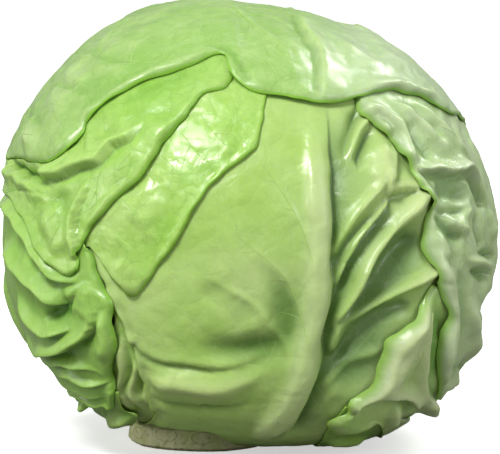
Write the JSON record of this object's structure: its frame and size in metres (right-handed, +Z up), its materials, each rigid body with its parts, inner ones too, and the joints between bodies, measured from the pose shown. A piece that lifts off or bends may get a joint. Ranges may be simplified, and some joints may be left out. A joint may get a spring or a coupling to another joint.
{
  "type": "green cabbage head",
  "caption": "Round head of green cabbage standing on its cut stalk, wrapped in broad waxy leaves with raised ribs, folded and ruffled margins.",
  "frame": {"origin": "on the flat cut face of the stalk that the head stands on, under the middle of the head", "axes": "+Z up through the head, -Y towards the side with the broad pale front leaf, +X to the right as seen from there"},
  "size_m": [0.1807, 0.1704, 0.1608],
  "materials": {
    "stalk": "freshly cut stalk, cream with green, slightly rough",
    "heart_leaf": "pale inner leaf, satin",
    "pale_leaf": "pale green waxy leaf, satin",
    "bright_leaf": "bright yellow-green waxy leaf, glossy",
    "green_leaf": "mid-green waxy leaf, glossy",
    "crown_leaf": "grey-green leaf with a thin wax bloom, satin",
    "dark_leaf": "dark green torn leaf base, satin"
  },
  "bodies": {
    "root": {"stalk": "stalk", "inner_head": "heart_leaf", "leaf_left_inner": "pale_leaf", "leaf_front": "pale_leaf", "leaf_left_flap": "bright_leaf", "leaf_base_left": "dark_leaf", "leaf_left_lower": "green_leaf", "leaf_left": "bright_leaf", "leaf_base_right": "dark_leaf", "leaf_right_lower": "bright_leaf", "leaf_right": "green_leaf", "leaf_crown": "crown_leaf"}
  },
  "joints": []
}
